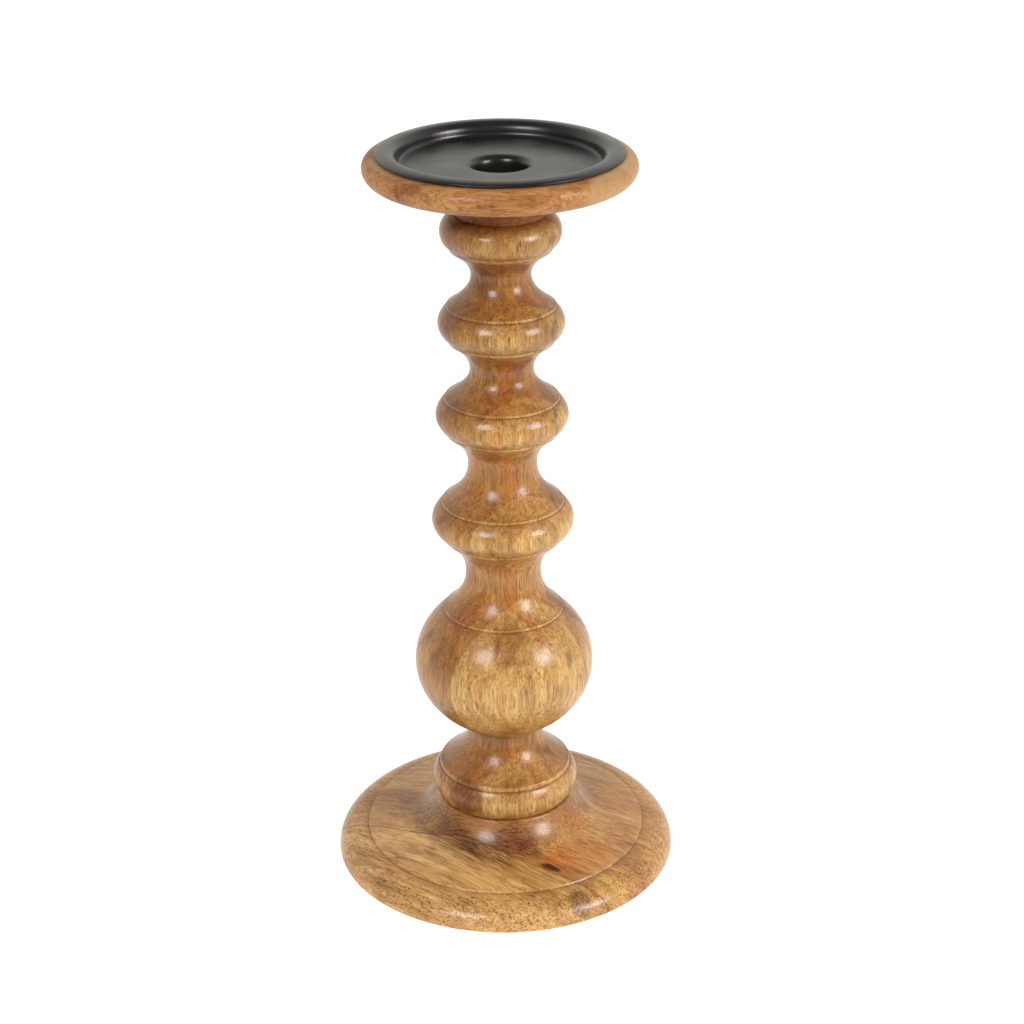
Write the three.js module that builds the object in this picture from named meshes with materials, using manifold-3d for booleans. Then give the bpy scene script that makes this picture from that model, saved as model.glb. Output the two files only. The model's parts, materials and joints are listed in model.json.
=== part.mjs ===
// Turned wooden candlestick with a loose black steel candle pan.
// Millimetres, +Z up. Origin: centre of the footprint, on the surface it stands on.
import * as THREE from 'three';
import { mergeVertices } from 'three/addons/utils/BufferGeometryUtils.js';
import Module from 'manifold-3d';

// ---- driving dimensions -------------------------------------------------------

const FIT = 0.3; // clearance between a hole and what goes into it

// felt pads under the base
const PAD = { radius: 8, thick: 1.2, reach: 56, count: 4 };

// base: two boards edge-glued on a seam that runs beside the stem, then turned as one
const SEAM = { turn: -27, offset: 34.5, gap: 0.3 };
const BASE = {
  radius: 75,
  footEdge: 0.8, // height of the square foot below the rounded rim
  rimInner: 61.8, // the rounded rim starts here
  rimTop: 10.8,
  stepHeight: 0.9, // the fillet between the rim and the sloping top
  stepWidth: 0.5,
  slopeInner: 42.5,
  slopeTop: 14.9,
  coveRadius: 34.6, // the corner that the cove is drawn round
  coveHeight: 16.3,
  seatRadius: 29.6, // where the cove meets the stem's foot
  height: 27,
};

// stem: heights above the base's underside
const TENON = { radius: 10, length: 18 }; // turned on its foot, glued into the base
const PILOT = { radius: 2, depth: 24 }; // a screw's hole in each end
const STEM_TOP = 294;

// necks, from the foot up: radius and height of each narrowest place
const NECKS = [
  { r: 16.4, z: 58.5 },
  { r: 16.25, z: 135.6 },
  { r: 14.65, z: 186.0 },
  { r: 13.3, z: 227.9 },
  { r: 12.4, z: 268.7 },
];
// swellings between the necks: an ellipse of radius r and half height round height z, cut off
// at a ring below and at a shoulder above; below and above say how sharply the hollows open
const FOOT_BEAD = { r: 32.05, half: 16.5, z: 34.6, shoulder: 40.8, above: 2.0, steps: 7 };
const BULB = { r: 38.75, half: 33.3, z: 92.8, ring: 64.2, shoulder: 117.2, above: 2.25, steps: 13 };
const BEADS = [
  { r: 30.26, half: 14.6, z: 160.4, ring: 153.2, shoulder: 167.4, below: 2.45, above: 2.3, steps: 6 },
  { r: 27.85, half: 14.0, z: 207.9, ring: 201.6, shoulder: 214.3, below: 2.3, above: 2.0, steps: 6 },
  { r: 26.28, half: 13.6, z: 248.3, ring: 242.0, shoulder: 254.5, below: 2.25, above: 2.0, steps: 6 },
];
const TOP_BEAD = { r: 24.85, inner: 19.35, half: 6.85, z: 287.15, ring: 281.2, below: 2.1 };
const RING = { drop: 2.7, inset: 2.5, bulge: 0.45, groove: 0.55 }; // fillet under each swelling
const BULB_RING = { outset: 0.1, drop: 2.6, bulge: 0.7 }; // the bulb's own, straight on the neck
const SHOULDER = { rise: 1.9, inset: 1.7, bulge: 0.5, groove: 0.7 }; // fillet above it
const FOOT_SHOULDER = { rise: 3.1, inset: 2.6, bulge: 0.8, groove: 0.8 }; // the lowest one, wider

// plate: a turned disc with a boss, recessed for the pan and bored for its cup
const PLATE = {
  radius: 55.3,
  top: 318.6,
  bottom: 307.4,
  topRound: 4.6,
  sideRound: 8,
  recessRadius: 43.2,
  recessFloor: 313.9,
  bossRadius: 18.8,
  bossHeight: 4.5,
  flare: 27, // the boss opens out to this radius at the plate's underside
  flareWidth: 0.6,
  flareDrop: 1.2,
  boreRadius: 12.5,
  boreMouth: 3, // chamfer round the bore's mouth, clear of the pan's curved lip
  boreFloor: 299.2,
};

// pan: pressed from one sheet, a low dish with a rolled rim and a cup for a slim candle
const PAN = {
  sheet: 0.8,
  edge: 49.9, // rim radius
  edgeDrop: 1, // the rim's edge below its crest
  edgeTurn: 62, // how far the rim has rolled over at its edge, degrees
  crest: 320.7,
  crestRadius: 45.2,
  wallRadius: 41.2,
  floor: 314.7,
  floorFillet: 1.6,
  lipFillet: 3,
  cupRadius: 11,
  cupDepth: 14,
  cupFillet: 2.5,
};

// wood screws: one down through the plate, one up through the base
const SCREW = {
  length: 26,
  shank: 1.9,
  head: 4.2,
  headHeight: 2.6,
  plain: 8.6, // the head and the smooth shank under it
  thread: 0.35,
  pitch: 2.2,
  tip: 4,
  clearance: 2.3, // radius of the hole through the plate and the base
  driver: 1.9,
  driverFloor: 0.5,
  driverDepth: 1.6,
};
const BASE_SINK = { depth: 4, radius: 6.5 }; // the lower screw's head is sunk into the base

// facets round the axis, and along each kind of curve
const SIDES = { stem: 28, disc: 44, pan: 36, small: 16 };
const STEPS = {
  hollow: 5,
  topBead: 8,
  rim: 8,
  cove: 8,
  flare: 5,
  sideRound: 7,
  topRound: 6,
  bend: 2,
  lip: 3,
  crest: 4,
};

const WELD = 1e-4; // corners closer than this are one
const MARGIN = 10; // how far a cutting block stands out past what it cuts

const FINISHES = {
  stem: { color: 0xb9843f, roughness: 0.4, metalness: 0 },
  plate: { color: 0xb4713a, roughness: 0.42, metalness: 0 },
  base: { color: 0xbd8f57, roughness: 0.42, metalness: 0 },
  pan: { color: 0x2c2b2b, roughness: 0.45, metalness: 0.3 },
  zinc: { color: 0xb4b0a4, roughness: 0.35, metalness: 0.9 },
  felt: { color: 0x2e2a27, roughness: 0.95, metalness: 0 },
};

// ---- profile helpers: lists of [radius, height] -------------------------------

// part of an ellipse round (cr, cz), angles in degrees up from the outward direction
function arc(cr, cz, ar, az, from, to, steps) {
  const points = [];
  for (let i = 0; i <= steps; i++) {
    const a = THREE.MathUtils.degToRad(from + ((to - from) * i) / steps);
    points.push([cr + ar * Math.cos(a), cz + az * Math.sin(a)]);
  }
  return points;
}

// a hollow that leaves a neck straight up or down and runs out to an edge
function cove(neck, edge, power, steps) {
  const points = [];
  for (let i = 1; i <= steps; i++) {
    const t = i / steps;
    points.push([neck.r + (edge.r - neck.r) * t ** power, neck.z + (edge.z - neck.z) * t]);
  }
  return points;
}

// the radius of an ellipse on the axis at height z
function ellipseRadius(e, z) {
  return e.r * Math.sqrt(1 - ((z - e.z) / e.half) ** 2);
}

// the same ellipse from one height to another, evenly spaced in angle
function swell(e, from, to, steps) {
  const a = THREE.MathUtils.radToDeg(Math.asin((from - e.z) / e.half));
  const b = THREE.MathUtils.radToDeg(Math.asin((to - e.z) / e.half));
  return arc(0, e.z, e.r, e.half, a, b, steps);
}

// a thin rounded fillet between two points, standing out by its bulge
function fillet(from, to, bulge) {
  const [dr, dz] = [to.r - from.r, to.z - from.z];
  const length = Math.hypot(dr, dz);
  return [
    [from.r, from.z],
    [(from.r + to.r) / 2 + (dz / length) * bulge, (from.z + to.z) / 2 - (dr / length) * bulge],
    [to.r, to.z],
  ];
}

// ---- solids -------------------------------------------------------------------

const wasm = await Module();
wasm.setup();

// closed profile turned about the vertical axis
function turned(profile, sides) {
  const points = profile.map(([r, z]) => new THREE.Vector2(r, z));
  const geometry = new THREE.LatheGeometry(points, sides);
  geometry.rotateX(Math.PI / 2);
  return geometry;
}

function toSolid(geometry) {
  const bare = geometry.clone();
  bare.deleteAttribute('normal');
  bare.deleteAttribute('uv');
  const merged = mergeVertices(bare, WELD);
  const index = merged.index.array;
  const kept = [];
  for (let i = 0; i < index.length; i += 3) {
    const [a, b, c] = [index[i], index[i + 1], index[i + 2]];
    if (a !== b && b !== c && a !== c) kept.push(a, b, c);
  }
  return new wasm.Manifold(
    new wasm.Mesh({
      numProp: 3,
      vertProperties: Float32Array.from(merged.attributes.position.array),
      triVerts: Uint32Array.from(kept),
    }),
  );
}

function toGeometry(solid) {
  const mesh = solid.getMesh();
  const geometry = new THREE.BufferGeometry();
  geometry.setAttribute('position', new THREE.BufferAttribute(mesh.vertProperties, 3));
  geometry.setIndex(new THREE.BufferAttribute(mesh.triVerts, 1));
  geometry.computeVertexNormals();
  return geometry;
}

function named(name, geometry, finish) {
  const mesh = new THREE.Mesh(geometry, new THREE.MeshStandardMaterial(finish));
  mesh.name = name;
  return mesh;
}

// ---- stem ---------------------------------------------------------------------

// below a swelling: the hollow up from the neck, the ring and the crease over it
function underside(neck, e, power) {
  const bead = { r: ellipseRadius(e, e.ring), z: e.ring };
  const edge = { r: bead.r - RING.inset, z: bead.z - RING.drop };
  const crease = { r: bead.r - RING.groove, z: bead.z - RING.groove / 2 };
  return [...cove(neck, edge, power, STEPS.hollow).slice(0, -1), ...fillet(edge, crease, RING.bulge)];
}

// above a swelling: the crease, the shoulder fillet and the hollow up to the neck
function topside(neck, e, shoulder = SHOULDER) {
  const bead = { r: ellipseRadius(e, e.shoulder), z: e.shoulder };
  const edge = { r: bead.r - shoulder.inset, z: bead.z + shoulder.rise };
  const crease = { r: bead.r - shoulder.groove, z: bead.z + shoulder.groove / 2 };
  const hollow = cove(neck, edge, e.above, STEPS.hollow).slice(0, -1).reverse();
  return [...fillet(crease, edge, shoulder.bulge), ...hollow, [neck.r, neck.z]];
}

function stemProfile() {
  const tenonEnd = BASE.height - TENON.length;
  const profile = [
    [0, tenonEnd + PILOT.depth],
    [PILOT.radius, tenonEnd + PILOT.depth],
    [PILOT.radius, tenonEnd],
    [TENON.radius, tenonEnd],
    [TENON.radius, BASE.height],
  ];
  profile.push(...swell(FOOT_BEAD, BASE.height, FOOT_BEAD.shoulder, FOOT_BEAD.steps));
  profile.push(...topside(NECKS[0], FOOT_BEAD, FOOT_SHOULDER));
  [BULB, ...BEADS].forEach((e, i) => {
    if (e === BULB) profile.push(...bulbRing());
    else profile.push(...underside(NECKS[i], e, e.below));
    profile.push(...swell(e, e.ring, e.shoulder, e.steps));
    profile.push(...topside(NECKS[i + 1], e));
  });
  profile.push(...topBead());
  const pilotEnd = STEM_TOP - PILOT.depth;
  profile.push([PILOT.radius, STEM_TOP], [PILOT.radius, pilotEnd], [0, pilotEnd]);
  return profile;
}

// the bulb runs down to a thin ring that is no wider than the neck's edge
function bulbRing() {
  const neck = NECKS[0];
  const bead = { r: ellipseRadius(BULB, BULB.ring), z: BULB.ring };
  const edge = { r: neck.r + BULB_RING.outset, z: bead.z - BULB_RING.drop };
  const crease = { r: bead.r - RING.groove, z: bead.z - RING.groove / 2 };
  return fillet(edge, crease, BULB_RING.bulge);
}

// the uppermost swelling is a half round that closes flat under the plate's boss
function topBead() {
  const e = TOP_BEAD;
  const from = THREE.MathUtils.radToDeg(Math.asin((e.ring - e.z) / e.half));
  const round = arc(e.inner, e.z, e.r - e.inner, e.half, from, 90, STEPS.topBead);
  const [r, z] = round[0];
  const edge = { r: r - RING.inset, z: z - RING.drop };
  const crease = { r: r - RING.groove / 2, z: z - RING.groove / 2 };
  const hollow = cove(NECKS[4], edge, e.below, STEPS.hollow).slice(0, -1);
  return [...hollow, ...fillet(edge, crease, RING.bulge), ...round];
}

// ---- base ---------------------------------------------------------------------

function baseProfile() {
  const b = BASE;
  const boreFloor = b.height - TENON.length - FIT * 2;
  const [rimWidth, rimHeight] = [b.radius - b.rimInner, b.rimTop - b.footEdge];
  return [
    [SCREW.clearance, BASE_SINK.depth],
    [BASE_SINK.radius, BASE_SINK.depth],
    [BASE_SINK.radius, 0],
    [b.radius, 0],
    ...arc(b.rimInner, b.footEdge, rimWidth, rimHeight, 0, 90, STEPS.rim),
    [b.rimInner - b.stepWidth, b.rimTop + b.stepHeight],
    ...baseCove(STEPS.cove),
    [TENON.radius + FIT, b.height],
    [TENON.radius + FIT, boreFloor],
    [SCREW.clearance, boreFloor],
    [SCREW.clearance, BASE_SINK.depth],
  ];
}

// the hollow that carries the sloping top up to the stem's foot
function baseCove(steps) {
  const b = BASE;
  const curve = new THREE.QuadraticBezierCurve(
    new THREE.Vector2(b.slopeInner, b.slopeTop),
    new THREE.Vector2(b.coveRadius, b.coveHeight),
    new THREE.Vector2(b.seatRadius, b.height),
  );
  return curve.getPoints(steps).map((p) => [p.x, p.y]);
}

// one board: the turned base kept on one side of the seam, in the seam's own frame
function baseBoard(name, side) {
  const whole = toSolid(turned(baseProfile(), SIDES.disc));
  const span = BASE.radius * 2 + MARGIN;
  const half = new THREE.BoxGeometry(span, span, BASE.height + MARGIN);
  const inner = -SEAM.offset + (side * SEAM.gap) / 2;
  half.translate(0, inner + (side * span) / 2, BASE.height / 2);
  return named(name, toGeometry(whole.intersect(toSolid(half))), FINISHES.base);
}

function feltPad(index) {
  const pad = new THREE.CylinderGeometry(PAD.radius, PAD.radius, PAD.thick, SIDES.small);
  pad.rotateX(Math.PI / 2);
  const mesh = named(`felt_pad_${index + 1}`, pad, FINISHES.felt);
  const angle = (Math.PI * 2 * index) / PAD.count;
  mesh.position.set(PAD.reach * Math.cos(angle), PAD.reach * Math.sin(angle), PAD.thick / 2);
  return mesh;
}

// ---- plate --------------------------------------------------------------------

function plateProfile() {
  const p = PLATE;
  const middle = p.top - p.topRound;
  const upper = arc(p.radius - p.topRound, middle, p.topRound, p.topRound, 0, 90, STEPS.topRound);
  const lower = arc(p.radius - p.sideRound, middle, p.sideRound, middle - p.bottom, -90, 0, STEPS.sideRound);
  const flare = new THREE.QuadraticBezierCurve(
    new THREE.Vector2(p.bossRadius, STEM_TOP + p.bossHeight),
    new THREE.Vector2(p.bossRadius + p.flareWidth, p.bottom - p.flareDrop),
    new THREE.Vector2(p.flare, p.bottom),
  );
  return [
    [SCREW.clearance, STEM_TOP],
    [p.bossRadius, STEM_TOP],
    ...flare.getPoints(STEPS.flare).map((v) => [v.x, v.y]),
    ...lower,
    ...upper.slice(1),
    [p.recessRadius, p.top],
    [p.recessRadius, p.recessFloor],
    [p.boreRadius + p.boreMouth, p.recessFloor],
    [p.boreRadius, p.recessFloor - p.boreMouth],
    [p.boreRadius, p.boreFloor],
    [SCREW.head + FIT, p.boreFloor],
    [SCREW.clearance, p.boreFloor - SCREW.headHeight],
    [SCREW.clearance, STEM_TOP],
  ];
}

// ---- pan ----------------------------------------------------------------------

// the lower face from the cup's middle out to the rim, then back along the upper face
function panProfile() {
  return [...panFace(PAN.sheet), ...panFace(0).reverse()];
}

// the pan's upper face, or the face that lies one sheet below and outside it
function panFace(sheet) {
  const p = PAN;
  const cup = p.cupRadius + sheet;
  const cupFloor = p.floor - p.cupDepth - sheet;
  const cupBend = p.cupFillet + sheet;
  const floor = p.floor - sheet;
  const lipBend = p.lipFillet - sheet;
  const wall = p.wallRadius + sheet;
  const wallBend = p.floorFillet + sheet;
  const crest = p.crest - sheet;
  const crestBend = p.crestRadius - wall;
  const last = THREE.MathUtils.degToRad(90 - p.edgeTurn);
  const rollHeight = p.edgeDrop / (1 - Math.sin(last));
  const rollWidth = (p.edge - p.crestRadius) / Math.cos(last);
  return [
    [0, cupFloor],
    ...arc(cup - cupBend, cupFloor + cupBend, cupBend, cupBend, -90, 0, STEPS.bend),
    ...arc(cup + lipBend, floor - lipBend, lipBend, lipBend, 180, 90, STEPS.lip),
    ...arc(wall - wallBend, floor + wallBend, wallBend, wallBend, -90, 0, STEPS.bend),
    ...arc(p.crestRadius, crest - crestBend, crestBend, crestBend, 180, 90, STEPS.crest),
    ...arc(p.crestRadius, crest - rollHeight, rollWidth, rollHeight, 90, 90 - p.edgeTurn, STEPS.lip).slice(1),
  ];
}

// ---- screws -------------------------------------------------------------------

// countersunk wood screw pointing down, its head's top at height 0
function screw(name) {
  const s = SCREW;
  const threadEnd = s.length - s.tip;
  const turns = Math.floor((threadEnd - s.plain) / s.pitch);
  const profile = [[0, -s.length]];
  for (let i = 0; i < turns; i++) {
    const z = threadEnd - i * s.pitch;
    profile.push([s.shank - s.thread, -z], [s.shank, -(z - s.pitch / 2)]);
  }
  profile.push([s.shank, -s.headHeight], [s.head, 0]);
  profile.push([s.driver, 0], [s.driverFloor, -s.driverDepth], [0, -s.driverDepth]);
  return named(name, turned(profile, SIDES.small), FINISHES.zinc);
}

// ---- assembly -----------------------------------------------------------------

const candlestick = new THREE.Group();

const seamFrame = new THREE.Group();
seamFrame.rotation.z = THREE.MathUtils.degToRad(SEAM.turn);
for (const [name, side] of [['base_board_front', -1], ['base_board_back', 1]]) {
  const board = baseBoard(name, side);
  board.position.z = PAD.thick;
  seamFrame.add(board);
}
for (let i = 0; i < PAD.count; i++) seamFrame.add(feltPad(i));
candlestick.add(seamFrame);

const turnedParts = new THREE.Group();
turnedParts.position.z = PAD.thick;
turnedParts.add(named('stem', turned(stemProfile(), SIDES.stem), FINISHES.stem));
turnedParts.add(named('top_plate', turned(plateProfile(), SIDES.disc), FINISHES.plate));
turnedParts.add(named('candle_pan', turned(panProfile(), SIDES.pan), FINISHES.pan));

const plateScrew = screw('plate_screw');
plateScrew.position.z = PLATE.boreFloor;
turnedParts.add(plateScrew);

const baseScrew = screw('base_screw');
baseScrew.rotation.x = Math.PI;
baseScrew.position.z = BASE_SINK.depth - SCREW.headHeight;
turnedParts.add(baseScrew);
candlestick.add(turnedParts);

export default candlestick;
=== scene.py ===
"""The looks of the turned wooden candle holder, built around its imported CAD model.

Every turned piece takes its outline from the CAD node that it stands for, so the two always agree.
The outline is smoothed between its creases, its creases are eased, and it is spun again with many
more sides.
"""
import json
import math
from collections import namedtuple

import bmesh
import bpy
import numpy as np
from mathutils import Matrix, Vector

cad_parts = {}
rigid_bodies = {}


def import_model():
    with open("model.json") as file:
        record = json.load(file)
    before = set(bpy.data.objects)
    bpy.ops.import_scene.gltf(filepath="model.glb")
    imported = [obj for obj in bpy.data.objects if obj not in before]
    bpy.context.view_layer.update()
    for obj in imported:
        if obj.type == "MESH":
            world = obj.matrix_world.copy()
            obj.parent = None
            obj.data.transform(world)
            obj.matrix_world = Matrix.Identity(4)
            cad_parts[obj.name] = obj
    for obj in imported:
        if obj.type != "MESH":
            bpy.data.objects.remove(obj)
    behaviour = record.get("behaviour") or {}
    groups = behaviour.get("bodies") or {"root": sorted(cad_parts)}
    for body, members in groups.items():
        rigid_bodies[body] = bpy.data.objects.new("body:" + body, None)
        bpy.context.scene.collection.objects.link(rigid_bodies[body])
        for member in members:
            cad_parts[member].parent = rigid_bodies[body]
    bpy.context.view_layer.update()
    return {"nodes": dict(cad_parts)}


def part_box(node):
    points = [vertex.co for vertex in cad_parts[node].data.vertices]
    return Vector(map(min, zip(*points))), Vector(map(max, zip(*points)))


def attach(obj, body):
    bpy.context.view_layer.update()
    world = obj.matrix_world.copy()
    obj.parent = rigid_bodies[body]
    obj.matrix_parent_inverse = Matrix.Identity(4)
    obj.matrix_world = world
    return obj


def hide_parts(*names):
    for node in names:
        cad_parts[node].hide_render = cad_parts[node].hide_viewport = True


MM = 0.001

# The two boards of the base meet on a plane turned by this much about the axis.
SEAM_TURN = math.radians(-27)
SEAM_NORMAL = Vector((-math.sin(SEAM_TURN), math.cos(SEAM_TURN), 0))
GLUE_LINE = 0.08 * MM

# How the outlines are read and refined.
SIDES = 192
SMALL_SIDES = 72
CREASE = math.radians(30)  # a corner sharper than this stays a crease
PRESSED_CREASE = math.radians(62)  # the same for pressed steel, which has rounder bends
SHARP = math.radians(40)  # faces that meet at more than this aren't shaded smooth
EASE = 0.55 * MM  # how far from a crease its small round starts
EASE_SHARE = 0.3  # and at most this much of the stretch that it starts on
STEP = 1.0 * MM  # how far apart the points of a smoothed outline are
ON_AXIS = 0.01 * MM
ON_PLANE = 0.005 * MM
WELD = 0.001 * MM  # points nearer than this are one point

# What the stain, the painted shade and the painted highlight follow: hollows, felt from this far,
# and creases of about this size.
HOLLOW_REACH = 45 * MM
HOLLOW_LIFT = 0.05 * MM  # the look around starts this far off the wood
HOLLOW_SLICES = range(-80, 81, 10)  # and goes in these directions, in degrees
GROOVE_SIZE = 0.4 * MM
LEAST_GROOVE = 0.15

# The camera stands in front, a little above, and looks down at the holder.
CAMERA_BACK = 0.8833
CAMERA_HEIGHT = 0.5646
CAMERA_PITCH = math.radians(24.42)
CAMERA_YAW = math.radians(0.25)
CAMERA_ROLL = math.radians(-0.38)
CAMERA_LENS = 80.2
SENSOR_WIDTH = 36

# Two soft boxes light the front: azimuth to the right of the front and elevation in degrees,
# distance, width and height in metres, and power in watts.
SOFT_BOXES = {
    "soft_box_left": (-31, 37, 1.25, 0.40, 0.42, 9.5),
    "soft_box_right": (60, 25, 1.25, 0.42, 0.44, 12.0),
}
BOX_AIM = 0.15  # the height that they point at

# The room that the gloss reflects: bright behind, dim in front and overhead.
ROOM_BACK = 1.05
ROOM_FRONT = 0.08
ROOM_ABOVE = 0.2
ROOM_TURN = (-0.35, 0.35)  # the direction's Y where the front ends and where the back starts
ROOM_RISE = (0.55, 0.9)  # the direction's Z where it starts to dim and where it is dimmest
ROOM_COLOUR = (0.985, 0.98, 0.90, 1)
FLOOR_GLOW = 0.80
FLOOR_FRONT = (-0.60, -0.30)  # the floor's glow starts and is full at these depths
FLOOR_SIZE = 14.0
FLOOR_GREY = (0.6, 0.6, 0.6, 1)


def clear_scene():
    for thing in list(bpy.data.objects):
        bpy.data.objects.remove(thing)


# ---------------------------------------------------------------- outlines

def polar(point):
    return math.hypot(point.x, point.y), math.atan2(point.y, point.x)


def outline(node, towards):
    """The (radius, height) points of a turned node in order, read near the azimuth towards.

    Also says whether they close on themselves, or start and end on the axis."""
    mesh = frame["nodes"][node].data
    aim = Vector((math.cos(towards), math.sin(towards)))
    widest = max(mesh.vertices, key=lambda v: v.co.x * aim.x + v.co.y * aim.y)
    azimuth = polar(widest.co)[1]

    def on_plane(co):
        radius, angle = polar(co)
        off = (angle - azimuth + math.pi) % (2 * math.pi) - math.pi
        return radius < ON_AXIS or abs(off) * radius < ON_PLANE

    def key(co):
        return round(polar(co)[0] / MM, 2), round(co.z / MM, 2)

    links = {}
    for polygon in mesh.polygons:
        corners = [mesh.vertices[i].co for i in polygon.vertices]
        for a, b in zip(corners, corners[1:] + corners[:1]):
            if on_plane(a) and on_plane(b) and key(a) != key(b):
                links.setdefault(key(a), set()).add(key(b))
                links.setdefault(key(b), set()).add(key(a))
    ends = sorted(k for k, near in links.items() if len(near) == 1)
    path = [min(ends or links, key=lambda k: (k[1], k[0]))]
    seen = set(path)
    while True:
        ahead = sorted(k for k in links[path[-1]] if k not in seen)
        if not ahead:
            break
        path.append(ahead[0])
        seen.add(ahead[0])
    return [Vector((r * MM, z * MM)) for r, z in path], not ends


def turning(a, b, c):
    return (b - a).angle(c - b, 0.0)


def curve_point(p0, p1, p2, p3, s):
    """A point part way from p1 to p2 on the centripetal curve through all four."""
    k0 = 0.0
    k1 = k0 + (p1 - p0).length ** 0.5
    k2 = k1 + (p2 - p1).length ** 0.5
    k3 = k2 + (p3 - p2).length ** 0.5
    k = k1 + (k2 - k1) * s
    a1 = p0.lerp(p1, (k - k0) / (k1 - k0))
    a2 = p1.lerp(p2, (k - k1) / (k2 - k1))
    a3 = p2.lerp(p3, (k - k2) / (k3 - k2))
    b1 = a1.lerp(a2, (k - k0) / (k2 - k0))
    b2 = a2.lerp(a3, (k - k1) / (k3 - k1))
    return b1.lerp(b2, (k - k1) / (k2 - k1))


def smooth_run(run):
    """One stretch between creases, as a smooth curve through its points."""
    if len(run) == 2:
        return run
    padded = [run[0] * 2 - run[1]] + run + [run[-1] * 2 - run[-2]]
    points = []
    for p0, p1, p2, p3 in zip(padded, padded[1:], padded[2:], padded[3:]):
        count = max(2, round((p2 - p1).length / STEP))
        points += [curve_point(p0, p1, p2, p3, i / count) for i in range(count)]
    return points + [run[-1]]


def shorten(run, amount):
    """The run with this length taken off its end."""
    run = list(run)
    while len(run) > 2 and (run[-1] - run[-2]).length <= amount:
        amount -= (run[-1] - run[-2]).length
        run.pop()
    last = run[-1] - run[-2]
    run[-1] = run[-1] - last.normalized() * min(amount, last.length * 0.9)
    return run


def run_length(run):
    return sum((b - a).length for a, b in zip(run, run[1:]))


def refined(points, closed, crease=CREASE):
    """The outline smoothed between its creases, with each crease eased by a small round."""
    count = len(points)
    sharp = [
        i for i in range(count)
        if (not closed and i in (0, count - 1))
        or turning(points[i - 1], points[i], points[(i + 1) % count]) > crease
    ]
    stops = sharp + [sharp[0] + count] if closed else sharp
    runs = []
    for first, last in zip(stops, stops[1:]):
        runs.append(smooth_run([points[i % count] for i in range(first, last + 1)]))
    joints = len(runs) if closed else len(runs) - 1
    for i in range(joints):
        before, after = runs[i], runs[(i + 1) % len(runs)]
        corner = before[-1].copy()
        cut = min(EASE, EASE_SHARE * run_length(before), EASE_SHARE * run_length(after))
        before = shorten(before, cut)
        after = shorten(after[::-1], cut)[::-1]
        a, b = before[-1], after[0]
        bend = [a.lerp(corner, s).lerp(corner.lerp(b, s), s) for s in (0.33, 0.67)]
        runs[i] = before + bend
        runs[(i + 1) % len(runs)] = after
    result = []
    for run in runs:
        result += [p for p in run if not result or (p - result[-1]).length > WELD]
    if closed and (result[0] - result[-1]).length < WELD:
        result.pop()
    return result


def outward(points, closed):
    """Each point of an outline, the ones after and before it, and the direction out of the wood."""
    here = np.array([(p.x, p.y) for p in points])
    after = np.roll(here, -1, axis=0) if closed else np.vstack([here[1:], here[-1:]])
    before = np.roll(here, 1, axis=0) if closed else np.vstack([here[:1], here[:-1]])
    along = after - before
    length = np.maximum(np.linalg.norm(along, axis=1, keepdims=True), 1e-9)
    side = 1 if np.sum(here[:, 0] * after[:, 1] - after[:, 0] * here[:, 1]) > 0 else -1
    normal = np.stack([along[:, 1], -along[:, 0]], axis=1) / length * side
    return here, after, before, normal


def hollowness(points, closed):
    """How much of what is around each point of an outline the outline itself shuts out, 0 to 1."""
    here, after, _, normal = outward(points, closed)
    middle = (here + after) / 2
    shut = np.zeros(len(here))
    slices = [math.radians(a) for a in HOLLOW_SLICES]
    for i, start in enumerate(here + normal * HOLLOW_LIFT):
        a, b = here - start, after - start
        for turn in slices:
            c, s = math.cos(turn), math.sin(turn)
            ray = (normal[i, 0] * c - normal[i, 1] * s, normal[i, 0] * s + normal[i, 1] * c)
            side_a = ray[0] * a[:, 1] - ray[1] * a[:, 0]
            side_b = ray[0] * b[:, 1] - ray[1] * b[:, 0]
            ahead = (middle - start) @ ray
            hit = (side_a * side_b < 0) & (ahead > 0) & (ahead < HOLLOW_REACH)
            if hit.any():
                shut[i] += (1 - ahead[hit].min() / HOLLOW_REACH) / len(slices)
    return shut


def grooves(points, closed):
    """Where the outline is creased inwards, 0 to 1, and where it is creased outwards, 0 to -1."""
    here, after, before, normal = outward(points, closed)
    bend = np.sum((before + after - 2 * here) * normal, axis=1)
    span = np.maximum(np.linalg.norm(after - before, axis=1) / 2, 1e-6)
    sharp = np.clip(bend / span ** 2 * GROOVE_SIZE, -1, 1)
    return np.where(np.abs(sharp) > LEAST_GROOVE, sharp, 0)


# ---------------------------------------------------------------- meshes

def spun(points, closed, sides):
    """A closed mesh turned from (radius, height) points about the vertical axis.

    Its corners carry how hollow and how creased the outline is, for the stain, the painted shade
    and the painted highlight to follow."""
    bm = bmesh.new()
    hollow = bm.verts.layers.float.new("hollow")
    groove = bm.verts.layers.float.new("groove")
    angles = [2 * math.pi * k / sides for k in range(sides)]
    rings = []
    for p, shut, crease in zip(points, hollowness(points, closed), grooves(points, closed)):
        if p.x < ON_AXIS:
            rings.append([bm.verts.new((0, 0, p.y))])
            continue
        ring = [bm.verts.new((p.x * math.cos(a), p.x * math.sin(a), p.y)) for a in angles]
        for vert in ring:
            vert[hollow], vert[groove] = shut, crease
        rings.append(ring)
    pairs = list(zip(rings, rings[1:]))
    if closed:
        pairs.append((rings[-1], rings[0]))
    for low, high in pairs:
        for k in range(sides):
            n = (k + 1) % sides
            corners = [
                low[k % len(low)], low[n % len(low)],
                high[n % len(high)], high[k % len(high)],
            ]
            bm.faces.new(dict.fromkeys(corners))
    bmesh.ops.recalc_face_normals(bm, faces=bm.faces)
    return bm


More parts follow.
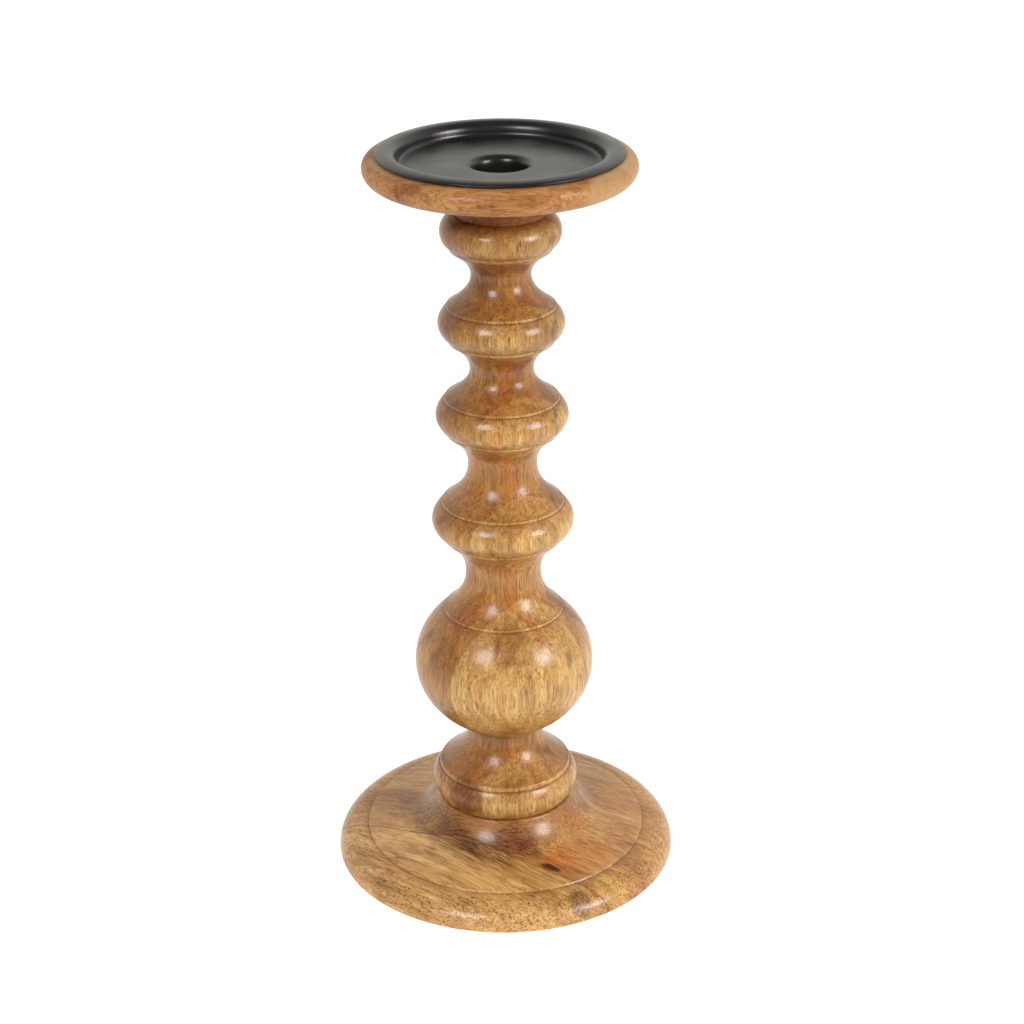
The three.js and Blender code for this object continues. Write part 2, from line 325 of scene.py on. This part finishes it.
def as_object(name, bm, material, body, slot, *nodes):
    """Makes a piece from the mesh, smooth between its creases, and puts it in the frame."""
    mesh = bpy.data.meshes.new(name)
    bm.to_mesh(mesh)
    bm.free()
    mesh.materials.append(material)
    mesh.polygons.foreach_set("use_smooth", [True] * len(mesh.polygons))
    mesh.set_sharp_from_angle(angle=SHARP)
    mesh.update()
    piece = bpy.data.objects.new(name, mesh)
    bpy.context.scene.collection.objects.link(piece)
    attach(piece, body)
    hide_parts(*nodes)
    return piece


def turned_piece(name, node, material, body, slot, crease=CREASE, sides=SIDES):
    """A piece that is round all the way, with the outline of its CAD node."""
    points, closed = outline(node, math.pi / 2)
    bm = spun(refined(points, closed, crease), closed, sides)
    return as_object(name, bm, material, body, slot, node)


def seam_offset():
    """How far the seam lies from the axis, along the seam's normal."""
    front, back = (frame["nodes"]["base_board_" + end].data.vertices for end in ("front", "back"))
    front_edge = max(v.co.dot(SEAM_NORMAL) for v in front)
    back_edge = min(v.co.dot(SEAM_NORMAL) for v in back)
    return (front_edge + back_edge) / 2


def base_board(name, node, side, material):
    """One board: the turned base cut along the seam, so that only a hair of glue shows.

    Side is -1 for the board in front of the seam and 1 for the one behind it."""
    points, closed = outline("base_board_back", math.pi / 2 + SEAM_TURN)
    bm = spun(refined(points, closed), closed, SIDES)
    normal = SEAM_NORMAL * side
    cut = bmesh.ops.bisect_plane(
        bm, geom=bm.verts[:] + bm.edges[:] + bm.faces[:], dist=WELD / 2,
        plane_co=normal * (seam_offset() * side + GLUE_LINE / 2), plane_no=normal,
        clear_inner=True,
    )
    rim = [e for e in cut["geom_cut"] if isinstance(e, bmesh.types.BMEdge)]
    bmesh.ops.triangle_fill(bm, edges=rim, use_beauty=True)
    bmesh.ops.recalc_face_normals(bm, faces=bm.faces)
    return as_object(name, bm, material, "holder", "base_wood", node)


def felt_disc(node, material):
    """A soft round pad with a slightly rolled edge, in the space its CAD node holds."""
    low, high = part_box(node)
    centre = (low + high) / 2
    radius = (high.x - low.x) / 2
    roll = 0.3 * (high.z - low.z)
    points = [Vector((0, low.z)), Vector((radius * 0.5, low.z))]
    for degrees in range(-90, 91, 30):
        a = math.radians(degrees)
        edge = low.z + roll if degrees < 0 else high.z - roll
        points.append(Vector((radius - roll + roll * math.cos(a), edge + roll * math.sin(a))))
    points += [Vector((radius * 0.5, high.z)), Vector((0, high.z))]
    bm = spun(points, False, SMALL_SIDES)
    bmesh.ops.translate(bm, verts=bm.verts, vec=Vector((centre.x, centre.y, 0)))
    return as_object(node + "_felt", bm, material, "holder", "felt", node)


# ---------------------------------------------------------------- materials

# The sockets of a Mix node in its colour mode.
MIX_FACTOR, MIX_A, MIX_B = 0, 6, 7

# Tints that multiply the wood's colour.
PORE_TINT = (0.58, 0.46, 0.36)
DOT_TINT = (0.55, 0.45, 0.36)
END_TINT = (0.66, 0.48, 0.34)
# painted shade, with some stain, in the hollows of the outline
HOLLOW_STAIN_AND_SHADE_TINT = (0.67, 0.54, 0.29)
# painted shade, with some stain, in inward creases
GROOVE_STAIN_AND_SHADE_TINT = (0.48, 0.36, 0.25)
# painted highlight on the outward creases
EDGE_HIGHLIGHT_TINT = (1.2, 1.2, 1.22)
GLUE_TINT = (0.5, 0.4, 0.3)
# painted shade in the cove under the stem's foot
COVE_SHADE_TINT = (0.62, 0.52, 0.40)
SLAB_TINT = (1.10, 1.17, 1.24)
BLANK_TINT = (0.90, 0.80, 0.68)
# painted shadow of the plate on the top of the stem
PLATE_SHADOW_TINT = (0.80, 0.80, 0.76)
RIDGE_TINT = (0.78, 0.66, 0.54)
# painted shade on the boss under the plate
BOSS_SHADE_TINT = (0.84, 0.68, 0.54)

# Where they start and where they are full, by how hollow or creased the outline is.
HOLLOW_RANGE = (0.06, 0.52)
GROOVE_RANGE = (0.1, 0.7)
EDGE_HIGHLIGHT_RANGE = (-0.1, -0.8)
# The same by height, by radius and by distance from the seam, in mm.
PLATE_SHADOW_HEIGHTS = (185, 275)
BOSS_SHADE_HEIGHTS = (310, 304)
RIM = (61.5, 66.0)
COVE_SHADE_RADII = (42.0, 29.5)
GLUE = (0.45, 0.15)

# Faces inside the wood: the direction that they look in, and how far out they lie, in mm.
SLAB_FACE = (0.454, -0.891, 0.0)
SLAB_OUT = (17.3, 17.6)
SAPWOOD_FACE = (0.97, -0.24, 0.0)
SAPWOOD_OUT = (41.0, 45.0)

# How the noises of the wood are squeezed: this much across the grain, and this much along it.
SWAY_SQUEEZE = (0.035, 0.012)
STREAK_SQUEEZE = (0.5, 0.022)
FIBRE_SQUEEZE = (1.4, 0.11)
PORE_SQUEEZE = (1.6, 0.16)
PATCH_SQUEEZE = (0.09, 0.03)
FIGURE_STRETCH = 0.09  # the figure's squeeze along the grain, to that across it
GRAIN_SWAY = 9.0
RIPPLES = (0.16, 0.16, 0.16)

# Streaks and fibres multiply it too, from dark to light: place on the noise, tint.
STREAKS = ((0.3, (0.76, 0.70, 0.62, 1)), (0.7, (1.14, 1.17, 1.20, 1)))
FIBRES = (
    (0.34, (0.58, 0.49, 0.39, 1)), (0.49, (0.96, 0.95, 0.93, 1)), (0.66, (1.15, 1.19, 1.22, 1)),
)

# A mark in the wood: a blurred ellipsoid, its centre and half size in mm, turned by so many
# degrees about the vertical, which multiplies the colour by a tint.
Mark = namedtuple("Mark", "centre size turn tint strength")
STEM_MARKS = (
    # orange heartwood up the middle
    Mark((1.5, -12, 150), (4, 9, 190), 0, (1.00, 0.82, 0.60), 0.6),
    Mark((0, -22, 283), (9, 10, 10), 0, (0.86, 0.74, 0.62), 0.8),
    Mark((-4, -24, 212), (5, 12, 24), 0, (0.96, 0.74, 0.56), 0.5),
    # paler wood low on the bulb
    Mark((9, -34, 74), (9, 8, 9), 0, (1.06, 1.06, 1.02), 0.7),
    Mark((0, -36, 62), (30, 14, 3), 0, (1.10, 1.06, 0.98), 0.6),
    # a thin dark streak up the right side of the beads
    Mark((22, -14.5, 250), (1.8, 3.5, 62), 0, (0.42, 0.40, 0.38), 0.9),
    # brown patches, most of them on the left of the bulb and the foot, and thin streaks
    Mark((-27, -27, 108), (9, 9, 17), 0, (0.72, 0.64, 0.54), 0.8),
    Mark((-3, -33, 122), (1.5, 9, 15), 0, (0.72, 0.50, 0.36), 0.8),
    Mark((-19, -27, 38), (10, 10, 10), 0, (0.50, 0.37, 0.27), 1.3),
    Mark((-25, -24, 78), (10, 10, 13), 0, (0.76, 0.68, 0.58), 0.9),
    Mark((21, -15, 289), (3, 4, 5), 0, (0.55, 0.50, 0.46), 0.9),
    Mark((2, -36, 52), (3, 6, 9), 0, (0.66, 0.50, 0.38), 0.6),
    Mark((28, -24, 115), (2, 5, 16), 0, (0.50, 0.46, 0.42), 0.7),
    Mark((-12, -20, 70), (12, 9, 5), 0, (0.72, 0.66, 0.58), 0.7),
)
FRONT_MARKS = (
    # grey-brown streaks that run beside the seam
    Mark((-24, -27, 18), (26, 7, 14), -50, (0.46, 0.40, 0.34), 1.0),
    Mark((-9, -37, 20), (17, 5, 12), -36, (0.40, 0.34, 0.29), 1.1),
    Mark((4, -49, 14), (10, 2.5, 6), -36, (0.66, 0.58, 0.52), 0.8),
    Mark((-36, -30, 14), (16, 2.5, 6), -44, (0.66, 0.58, 0.50), 0.8),
    # patches on the rim
    Mark((-18, -65, 10), (6, 2, 3), -38, (0.62, 0.56, 0.52), 0.7),
    Mark((-52, -47, 9), (7, 6, 6), 0, (0.74, 0.66, 0.58), 0.7),
    Mark((32, -64, 8), (7, 5, 8), -38, (0.44, 0.40, 0.46), 1.3),
)
BACK_MARKS = (
    # the other half of the streaks beside the seam
    Mark((-28, -20, 18), (24, 8, 14), -58, (0.52, 0.44, 0.36), 1.0),
    Mark((-42, -2, 16), (20, 6, 12), -76, (0.72, 0.66, 0.60), 0.8),
    # an orange flame round a dark knot at the seam
    Mark((31, -38, 15), (20, 11, 12), 30, (1.04, 0.80, 0.54), 1.0),
    Mark((22, -42, 15), (10, 5.0, 9), 40, (1.02, 0.70, 0.42), 1.0),
    Mark((19.8, -46.0, 15), (5.2, 1.9, 6), -27, (0.10, 0.06, 0.04), 1.7),
    # brown and yellow patches and streaks elsewhere
    Mark((4, -34, 19), (14, 8, 12), -22, (0.46, 0.32, 0.20), 1.0),
    Mark((46, -54, 9), (11, 6, 10), -20, (1.34, 1.62, 1.40), 1.3),
    Mark((31, -17, 22), (8, 7, 8), 20, (0.98, 0.66, 0.44), 0.9),
    Mark((48, 2, 14), (9, 5, 8), -20, (0.74, 0.66, 0.62), 0.7),
    Mark((54, -12, 12), (12, 3, 8), -24, (0.72, 0.62, 0.54), 0.7),
    Mark((52, -46, 9), (9, 3, 8), 40, (0.86, 0.72, 0.56), 0.7),
)


def tone(red, green, blue):
    """A screen colour, 0 to 255, as the linear colour that shaders take."""
    def linear(value):
        value /= 255
        return value / 12.92 if value <= 0.04045 else ((value + 0.055) / 1.055) ** 2.4
    return linear(red), linear(green), linear(blue), 1.0


class Shader:
    """One material. Each method adds a node and returns the socket that comes out of it."""

    def __init__(self, name):
        self.material = bpy.data.materials.new(name)
        self.material.use_nodes = True
        self.nodes = self.material.node_tree.nodes
        self.links = self.material.node_tree.links
        self.nodes.clear()
        self.surface = self.nodes.new("ShaderNodeBsdfPrincipled")
        output = self.nodes.new("ShaderNodeOutputMaterial")
        self.links.new(self.surface.outputs["BSDF"], output.inputs["Surface"])
        place = self.nodes.new("ShaderNodeTexCoord").outputs["Object"]
        self.place = self.vector("SCALE", place, scale=1 / MM)

    def feed(self, socket, value):
        if isinstance(value, bpy.types.NodeSocket):
            self.links.new(value, socket)
        elif value is not None:
            socket.default_value = value

    def set(self, **values):
        """Sets or joins the surface's own inputs, written with _ for a space."""
        for name, value in values.items():
            self.feed(self.surface.inputs[name.replace("_", " ")], value)

    def vector(self, operation, a, b=None, scale=None):
        node = self.nodes.new("ShaderNodeVectorMath")
        node.operation = operation
        self.feed(node.inputs[0], a)
        self.feed(node.inputs[1], b)
        if scale is not None:
            self.feed(node.inputs["Scale"], scale)
        return node.outputs["Value" if operation in ("DOT_PRODUCT", "LENGTH") else "Vector"]

    def maths(self, operation, a, b=None):
        node = self.nodes.new("ShaderNodeMath")
        node.operation = operation
        self.feed(node.inputs[0], a)
        self.feed(node.inputs[1], b)
        return node.outputs[0]

    def turned(self, vector, shift=(0, 0, 0), turn=(0, 0, 0), scale=(1, 1, 1)):
        node = self.nodes.new("ShaderNodeMapping")
        node.inputs["Location"].default_value = shift
        node.inputs["Rotation"].default_value = [math.radians(t) for t in turn]
        node.inputs["Scale"].default_value = scale
        self.feed(node.inputs["Vector"], vector)
        return node.outputs["Vector"]

    def noise(self, vector, detail=2.0, roughness=0.5, distortion=0.0, colour=False):
        node = self.nodes.new("ShaderNodeTexNoise")
        node.inputs["Scale"].default_value = 1.0
        node.inputs["Detail"].default_value = detail
        node.inputs["Roughness"].default_value = roughness
        node.inputs["Distortion"].default_value = distortion
        self.feed(node.inputs["Vector"], vector)
        return node.outputs["Color" if colour else "Fac"]

    def ramp(self, value, *stops):
        node = self.nodes.new("ShaderNodeValToRGB")
        elements = node.color_ramp.elements
        while len(elements) < len(stops):
            elements.new(0.5)
        for element, (position, colour) in zip(elements, stops):
            element.position = position
            element.color = colour
        self.feed(node.inputs["Fac"], value)
        return node.outputs["Color"]

    def fade(self, value, low, high, start=0.0, end=1.0):
        """Goes smoothly from start to end as the value goes from low to high."""
        node = self.nodes.new("ShaderNodeMapRange")
        node.interpolation_type = "SMOOTHSTEP"
        ends = {"From Min": low, "From Max": high, "To Min": start, "To Max": end}
        for name, number in ends.items():
            node.inputs[name].default_value = number
        self.feed(node.inputs["Value"], value)
        return node.outputs["Result"]

    def mix(self, factor, a, b, blend="MIX"):
        node = self.nodes.new("ShaderNodeMix")
        node.data_type = "RGBA"
        node.blend_type = blend
        self.feed(node.inputs[MIX_FACTOR], factor)
        self.feed(node.inputs[MIX_A], a)
        self.feed(node.inputs[MIX_B], b)
        return node.outputs[2]

    def bump(self, height, strength, depth):
        node = self.nodes.new("ShaderNodeBump")
        node.inputs["Strength"].default_value = strength
        node.inputs["Distance"].default_value = depth
        self.feed(node.inputs["Height"], height)
        return node.outputs["Normal"]

    def attribute(self, name):
        node = self.nodes.new("ShaderNodeAttribute")
        node.attribute_name = name
        return node.outputs["Fac"]

    def height(self):
        """How high the point is, in mm."""
        node = self.nodes.new("ShaderNodeSeparateXYZ")
        self.feed(node.inputs[0], self.place)
        return node.outputs["Z"]

    def sway(self, vector, amount, detail):
        """A soft random push in every direction, by up to half this amount each way."""
        push = self.noise(vector, detail=detail, colour=True)
        return self.vector("SCALE", self.vector("SUBTRACT", push, (0.5, 0.5, 0.5)), scale=amount)

    def spot(self, centre, size, turn, wobble):
        """1 inside an ellipsoid of this centre and half size in mm, fading out at its edge."""
        local = self.vector("SUBTRACT", self.place, centre)
        ripples = self.turned(self.place, scale=RIPPLES)
        local = self.vector("ADD", local, self.sway(ripples, wobble, detail=3))
        local = self.turned(local, turn=(0, 0, -turn))
        local = self.turned(local, scale=tuple(1 / s for s in size))
        return self.fade(self.vector("LENGTH", local), 0.6, 1.15, 1.0, 0.0)


def times(shader, factor, colour, tint):
    """The colour multiplied by a tint, as far as the factor says."""
    return shader.mix(factor, colour, shader.mix(1.0, colour, (*tint, 1), "MULTIPLY"))


def wood_grain(shader, grain, palette, bands=0.07, seed=0.0):
    """Colour, pores and fibre of open-pored hardwood.

    The grain runs along Z of the coordinate called grain, in mm; bands is how many bands of
    figure there are to a mm across it."""
    def squeezed(vector, shift, across, along):
        return shader.turned(vector, shift=shift, scale=(across, across, along))

    slow = squeezed(grain, (seed, seed, seed), *SWAY_SQUEEZE)
    push = shader.vector("MULTIPLY", shader.sway(slow, GRAIN_SWAY, detail=2), (1, 1, 0))
    swayed = shader.vector("ADD", grain, push)
    figure = squeezed(swayed, (seed, 3.1, 7.7), bands, bands * FIGURE_STRETCH)
    colour = shader.ramp(shader.noise(figure, detail=3, distortion=0.6), *palette)
    streak = shader.noise(squeezed(swayed, (5, seed, 1), *STREAK_SQUEEZE), detail=2)
    colour = shader.mix(1.0, colour, shader.ramp(streak, *STREAKS), "MULTIPLY")
    fibre = squeezed(swayed, (0, 0, 0), *FIBRE_SQUEEZE)
    fibre = shader.noise(fibre, detail=3, roughness=0.72)
    colour = shader.mix(1.0, colour, shader.ramp(fibre, *FIBRES), "MULTIPLY")
    pore = shader.noise(squeezed(swayed, (seed, 11, 5), *PORE_SQUEEZE), detail=1.5)
    patches = shader.noise(squeezed(swayed, (seed, 2, 9), *PATCH_SQUEEZE), detail=2)
    pores = shader.fade(pore, 0.34, 0.43, 1.0, 0.0)
    pores = shader.maths("MULTIPLY", pores, shader.fade(patches, 0.35, 0.65, 0.25, 1.0))
    return times(shader, pores, colour, PORE_TINT), pores, fibre


def lacquer(shader, colour, pores, fibre, coat=0.5, roughness=(0.42, 0.56)):
    """A satin lacquer over the wood, that sinks a little into the pores."""
    shader.set(
        Base_Color=colour, Roughness=shader.fade(fibre, 0.3, 0.7, *roughness),
        Specular_IOR_Level=0.22, IOR=1.5,
        Coat_Weight=coat, Coat_Roughness=0.22, Coat_IOR=1.5,
    )
    height = shader.maths("SUBTRACT", shader.maths("MULTIPLY", fibre, 0.35), pores)
    shader.set(
        Normal=shader.bump(height, 0.35, 0.12 * MM),
        Coat_Normal=shader.bump(height, 0.15, 0.1 * MM),
    )
    return shader.material


def end_grain(shader, colour, axis=(0, 0, 1), amount=0.55):
    """Wood cut across its grain drinks more lacquer, and is darker and redder."""
    normal = shader.nodes.new("ShaderNodeNewGeometry").outputs["Normal"]
    across = shader.maths("ABSOLUTE", shader.vector("DOT_PRODUCT", normal, axis))
    return times(shader, shader.fade(across, 0.2, 0.85, 0.0, amount), colour, END_TINT)


def stain_shade_and_edge_highlight(shader, colour):
    """Stain with painted shade in the hollows and inward creases, and a painted highlight on the
    outward creases.
    """
    # painted shade, with some stain, where the outline shuts out its surroundings
    hollow = shader.fade(shader.attribute("hollow"), *HOLLOW_RANGE)
    colour = times(shader, hollow, colour, HOLLOW_STAIN_AND_SHADE_TINT)
    groove = shader.attribute("groove")
    # painted shade, with some stain, in the inward creases
    colour = times(shader, shader.fade(groove, *GROOVE_RANGE, 0.0, 0.9), colour, GROOVE_STAIN_AND_SHADE_TINT)
    # painted highlight on the outward creases
    return times(shader, shader.fade(groove, *EDGE_HIGHLIGHT_RANGE, 0.0, 0.6), colour, EDGE_HIGHLIGHT_TINT)


def stem_wood():
    shader = Shader("lacquered_mango_wood_stem")
    palette = (
        (0.30, tone(142, 96, 50)), (0.42, tone(174, 127, 68)), (0.52, tone(190, 148, 86)),
        (0.62, tone(186, 132, 70)), (0.74, tone(162, 104, 50)),
    )
    colour, pores, fibre = wood_grain(shader, shader.place, palette)
    # a slab glued on in front is paler than the rest of the blank
    slab = shader.fade(shader.vector("DOT_PRODUCT", shader.place, SLAB_FACE), *SLAB_OUT)
    colour = times(shader, slab, colour, SLAB_TINT)
    colour = times(shader, shader.maths("SUBTRACT", 1.0, slab), colour, BLANK_TINT)
    # painted shadow of the plate: the stem darkens towards its top
    colour = times(shader, shader.fade(shader.height(), *PLATE_SHADOW_HEIGHTS), colour, PLATE_SHADOW_TINT)
    for mark in STEM_MARKS:
        spot = shader.spot(mark.centre, mark.size, mark.turn, wobble=5.0)
        colour = times(shader, shader.maths("MULTIPLY", spot, mark.strength), colour, mark.tint)
    # painted shade with some stain in hollows and creases, and painted highlight on outward creases
    colour = stain_shade_and_edge_highlight(shader, end_grain(shader, colour))
    return lacquer(shader, colour, pores, fibre)


def plate_wood():
    shader = Shader("lacquered_mango_wood_plate")
    palette = (
        (0.30, tone(132, 80, 42)), (0.45, tone(162, 108, 60)), (0.55, tone(178, 126, 74)),
        (0.68, tone(184, 136, 84)), (0.78, tone(150, 96, 52)),
    )
    grain = shader.turned(shader.place, turn=(0, 90, 0))
    colour, pores, fibre = wood_grain(shader, grain, palette, bands=0.09, seed=4.0)
    ridges = shader.noise(shader.turned(shader.place, scale=(0.55, 0.55, 0.05)), detail=2)
    colour = times(shader, shader.fade(ridges, 0.30, 0.50, 0.75, 0.0), colour, RIDGE_TINT)
    # pale sapwood on one side
    sap = shader.fade(shader.vector("DOT_PRODUCT", shader.place, SAPWOOD_FACE), *SAPWOOD_OUT)
    colour = shader.mix(sap, colour, shader.mix(0.6, colour, tone(188, 152, 104)))
    # painted shade under the plate: the boss is darker
    colour = times(shader, shader.fade(shader.height(), *BOSS_SHADE_HEIGHTS), colour, BOSS_SHADE_TINT)
    # painted shade with some stain in hollows and creases, and painted highlight on outward creases
    colour = stain_shade_and_edge_highlight(shader, end_grain(shader, colour, axis=(1, 0, 0), amount=0.3))
    return lacquer(shader, colour, pores, fibre, coat=0.12, roughness=(0.46, 0.6))


def board_wood(name, palette, grain_turn, seed, marks):
    """Wood of one board of the base, its grain lying flat and turned by so many degrees."""
    shader = Shader(name)
    grain = shader.turned(shader.turned(shader.place, turn=(0, 0, -grain_turn)), turn=(0, 90, 0))
    colour, pores, fibre = wood_grain(shader, grain, palette, bands=0.06, seed=seed)
    # pores come to the surface as dots all round the turned rim
    dot = shader.noise(shader.turned(shader.place, scale=(0.9, 0.9, 1.1)), detail=1.5)
    radius = shader.vector("LENGTH", shader.vector("MULTIPLY", shader.place, (1, 1, 0)))
    on_rim = shader.fade(radius, *RIM)
    dots = shader.maths("MULTIPLY", shader.fade(dot, 0.33, 0.43, 1.0, 0.0), on_rim)
    colour = times(shader, dots, colour, DOT_TINT)
    pores = shader.maths("MAXIMUM", pores, dots)
    for mark in marks:
        spot = shader.spot(mark.centre, mark.size, mark.turn, wobble=min(6.0, mark.size[1]))
        streaky = shader.fade(fibre, 0.35, 0.6, mark.strength, mark.strength * 0.5)
        colour = times(shader, shader.maths("MULTIPLY", spot, streaky), colour, mark.tint)
    # glue darkens the seam, and painted shade darkens the cove round the stem's foot
    seam = shader.vector("DOT_PRODUCT", shader.place, tuple(SEAM_NORMAL))
    glue = shader.maths("ABSOLUTE", shader.maths("SUBTRACT", seam, seam_offset() / MM))
    colour = times(shader, shader.fade(glue, *GLUE, 0.0, 0.6), colour, GLUE_TINT)
    # painted shade in the cove round the stem's foot
    colour = times(shader, shader.fade(radius, *COVE_SHADE_RADII, 0.0, 0.8), colour, COVE_SHADE_TINT)
    # painted shade with some stain in hollows and creases, and painted highlight on outward creases
    return lacquer(shader, stain_shade_and_edge_highlight(shader, colour), pores, fibre)


def front_board_wood():
    palette = (
        (0.30, tone(164, 114, 64)), (0.44, tone(192, 144, 86)), (0.55, tone(206, 162, 102)),
        (0.66, tone(200, 150, 88)), (0.78, tone(176, 124, 70)),
    )
    return board_wood("lacquered_mango_wood_base_front", palette, -38, 9.0, FRONT_MARKS)


def back_board_wood():
    palette = (
        (0.30, tone(152, 98, 52)), (0.44, tone(182, 130, 74)), (0.55, tone(196, 148, 90)),
        (0.66, tone(190, 136, 76)), (0.78, tone(166, 108, 56)),
    )
    return board_wood("lacquered_mango_wood_base_back", palette, -24, 2.0, BACK_MARKS)


def black_steel():
    shader = Shader("satin_black_painted_steel")
    grime = shader.noise(shader.turned(shader.place, scale=(0.08, 0.08, 0.08)), detail=4)
    peel = shader.noise(shader.turned(shader.place, scale=(1.6, 1.6, 1.6)), detail=1)
    shader.set(Base_Color=shader.ramp(grime, (0.3, tone(25, 23, 22)), (0.7, tone(34, 31, 30))))
    shader.set(Roughness=shader.fade(grime, 0.3, 0.7, 0.27, 0.34))
    shader.set(IOR=1.5, Specular_IOR_Level=0.46, Normal=shader.bump(peel, 0.05, 0.1 * MM))
    return shader.material


def felt():
    shader = Shader("dark_brown_felt")
    fuzz = shader.noise(shader.turned(shader.place, scale=(2.4, 2.4, 2.4)), detail=5, roughness=0.7)
    shader.set(Base_Color=shader.ramp(fuzz, (0.3, tone(34, 29, 26)), (0.7, tone(66, 58, 52))))
    shader.set(Roughness=0.95, Sheen_Weight=0.4, Sheen_Roughness=0.5)
    shader.set(Normal=shader.bump(fuzz, 0.8, 0.4 * MM))
    return shader.material


def zinc():
    shader = Shader("zinc_plated_steel")
    streak = shader.noise(shader.turned(shader.place, scale=(0.5, 0.5, 6.0)), detail=3)
    stops = (0.3, tone(168, 164, 150)), (0.7, tone(206, 203, 190))
    shader.set(Base_Color=shader.ramp(streak, *stops))
    shader.set(Metallic=1.0, Roughness=shader.fade(streak, 0.3, 0.7, 0.28, 0.45))
    shader.set(Normal=shader.bump(streak, 0.2, 0.05 * MM))
    return shader.material


# ---------------------------------------------------------------- the room

def floor():
    """A large plain white sheet, bright enough to fade into the background.

    In reflections it is dark in front, as the room is."""
    bm = bmesh.new()
    bmesh.ops.create_grid(bm, x_segments=8, y_segments=8, size=FLOOR_SIZE / 2)
    mesh = bpy.data.meshes.new("studio_floor")
    bm.to_mesh(mesh)
    bm.free()
    shader = Shader("studio_white")
    depth = shader.vector("DOT_PRODUCT", shader.place, (0, MM, 0))
    shader.set(Base_Color=FLOOR_GREY, Roughness=0.9, Emission_Color=(1, 1, 1, 1))
    glow = shader.fade(depth, *FLOOR_FRONT, 0.0, FLOOR_GLOW)
    seen = shader.nodes.new("ShaderNodeLightPath").outputs["Is Camera Ray"]
    seen = shader.maths("MULTIPLY", seen, FLOOR_GLOW)
    shader.set(Emission_Strength=shader.maths("MAXIMUM", glow, seen))
    mesh.materials.append(shader.material)
    sheet = bpy.data.objects.new("studio_floor", mesh)
    bpy.context.scene.collection.objects.link(sheet)


def soft_box(name, azimuth, elevation, distance, width, height, power):
    """A rectangular lamp that faces the holder."""
    light = bpy.data.lights.new(name, "AREA")
    light.shape = "RECTANGLE"
    light.size = width
    light.size_y = height
    light.energy = power
    a, e = math.radians(azimuth), math.radians(elevation)
    away = Vector((math.sin(a) * math.cos(e), -math.cos(a) * math.cos(e), math.sin(e)))
    lamp = bpy.data.objects.new(name, light)
    lamp.location = Vector((0, 0, BOX_AIM)) + away * distance
    lamp.rotation_euler = away.to_track_quat("Z", "Y").to_euler()
    bpy.context.scene.collection.objects.link(lamp)


def room():
    """White walls behind, and a dimmer room in front and overhead for the gloss to reflect."""
    world = bpy.data.worlds.new("studio_room")
    world.use_nodes = True
    nodes, links = world.node_tree.nodes, world.node_tree.links
    nodes.clear()
    direction = nodes.new("ShaderNodeTexCoord").outputs["Generated"]
    split = nodes.new("ShaderNodeSeparateXYZ")
    links.new(direction, split.inputs[0])

    def fade(value, low, high, start, end):
        node = nodes.new("ShaderNodeMapRange")
        node.interpolation_type = "SMOOTHSTEP"
        ends = {"From Min": low, "From Max": high, "To Min": start, "To Max": end}
        for name, number in ends.items():
            node.inputs[name].default_value = number
        links.new(value, node.inputs["Value"])
        return node.outputs["Result"]

    def maths(operation, a, b):
        node = nodes.new("ShaderNodeMath")
        node.operation = operation
        links.new(a, node.inputs[0])
        links.new(b, node.inputs[1])
        return node.outputs[0]

    level = fade(split.outputs["Y"], *ROOM_TURN, ROOM_FRONT, ROOM_BACK)
    above = fade(split.outputs["Z"], *ROOM_RISE, 1.0, ROOM_ABOVE)
    # seen directly, the room is one plain white
    seen = nodes.new("ShaderNodeLightPath").outputs["Is Camera Ray"]
    background = nodes.new("ShaderNodeBackground")
    background.inputs["Color"].default_value = ROOM_COLOUR
    strength = maths("MAXIMUM", maths("MULTIPLY", level, above), seen)
    links.new(strength, background.inputs["Strength"])
    output = nodes.new("ShaderNodeOutputWorld")
    links.new(background.outputs[0], output.inputs["Surface"])
    bpy.context.scene.world = world


def camera():
    """The camera of the main view."""
    data = bpy.data.cameras.new("photo_camera")
    data.lens = CAMERA_LENS
    data.sensor_width = SENSOR_WIDTH
    data.clip_start = 0.01
    data.clip_end = 50
    eye = bpy.data.objects.new("photo_camera", data)
    forward = Vector((
        math.sin(CAMERA_YAW) * math.cos(CAMERA_PITCH),
        math.cos(CAMERA_YAW) * math.cos(CAMERA_PITCH),
        -math.sin(CAMERA_PITCH),
    ))
    aim = forward.to_track_quat("-Z", "Y").to_matrix().to_4x4()
    roll = Matrix.Rotation(CAMERA_ROLL, 4, "Z")
    eye.matrix_world = Matrix.Translation((0, -CAMERA_BACK, CAMERA_HEIGHT)) @ aim @ roll
    bpy.context.scene.collection.objects.link(eye)
    bpy.context.scene.camera = eye


# ---------------------------------------------------------------- the holder

clear_scene()
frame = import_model()

camera()
room()
for box_name, settings in SOFT_BOXES.items():
    soft_box(box_name, *settings)
floor()
bpy.context.scene.view_settings.view_transform = "Standard"

turned_piece("turned_stem", "stem", stem_wood(), "holder", "stem_wood")
turned_piece("turned_top_plate", "top_plate", plate_wood(), "holder", "plate_wood")
turned_piece(
    "pressed_candle_pan", "candle_pan", black_steel(), "pan", "black_steel", PRESSED_CREASE)
base_board("front_board", "base_board_front", -1, front_board_wood())
base_board("back_board", "base_board_back", 1, back_board_wood())
felt_material = felt()
for node_name in sorted(frame["nodes"]):
    if node_name.startswith("felt_pad"):
        felt_disc(node_name, felt_material)
zinc_material = zinc()
for node_name in ("plate_screw", "base_screw"):
    turned_piece(
        node_name + "_zinc", node_name, zinc_material, "holder", "zinc_steel",
        sides=SMALL_SIDES)
